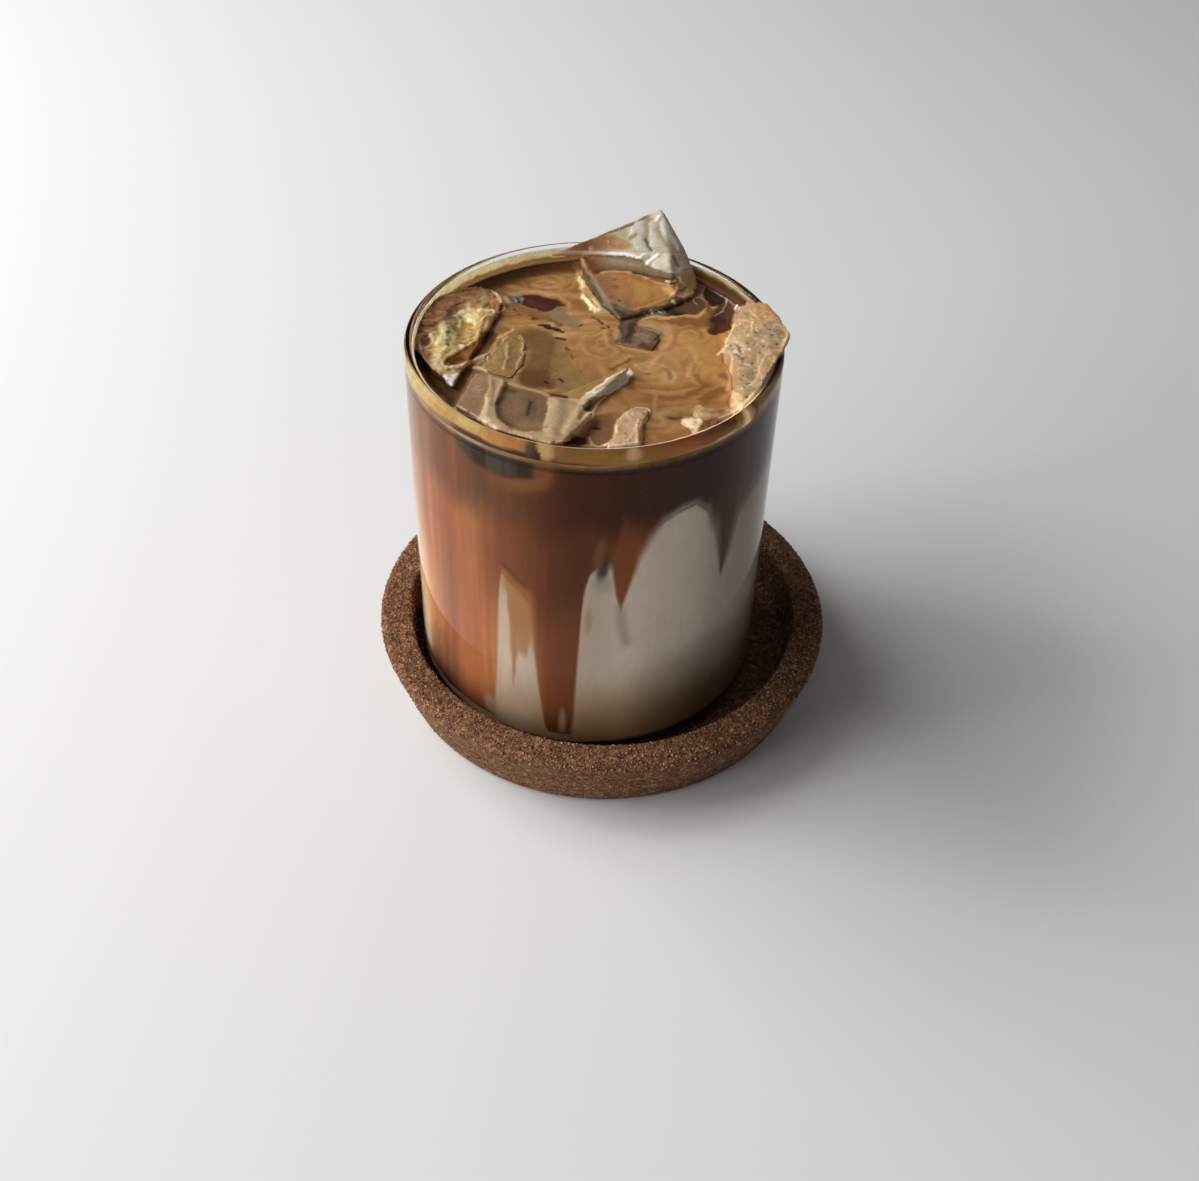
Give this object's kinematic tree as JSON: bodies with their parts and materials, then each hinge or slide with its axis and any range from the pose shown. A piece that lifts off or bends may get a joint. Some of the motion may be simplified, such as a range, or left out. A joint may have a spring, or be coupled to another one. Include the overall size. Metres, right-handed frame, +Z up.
{
  "type": "hojicha latte",
  "caption": "Iced hojicha latte in a straight clear glass tumbler on a deep round cork saucer, with tea running down into milk and broken ice on top.",
  "frame": {"origin": "Middle of the saucer's underside, on the surface that it stands on. The glass's axis is 3.65 mm towards -X from it.", "axes": "+Z is up. -Y points to the side where the tea runs down into the milk, and +X is to the right for someone who looks at that side."},
  "size_m": [0.1076, 0.1076, 0.1037],
  "materials": {
    "cork": "pressed dark cork granules, dull",
    "glass": "clear and smooth",
    "milk": "opaque liquid",
    "tea": "dark red-brown liquid",
    "pale_skin": "marbled tan liquid",
    "ice": "wet and clear, with bubbles"
  },
  "bodies": {
    "root": {"saucer": "cork", "glass": "glass", "milk": "milk", "tea": "tea", "pale_skin": "pale_skin", "ice_back_wedge": "ice", "ice_right_rim": "ice", "ice_left_wall": "ice", "ice_lens": "ice", "ice_front_slab": "ice", "ice_front_chip": "ice", "ice_right_chip": "ice", "ice_middle_shard": "ice"}
  },
  "joints": []
}
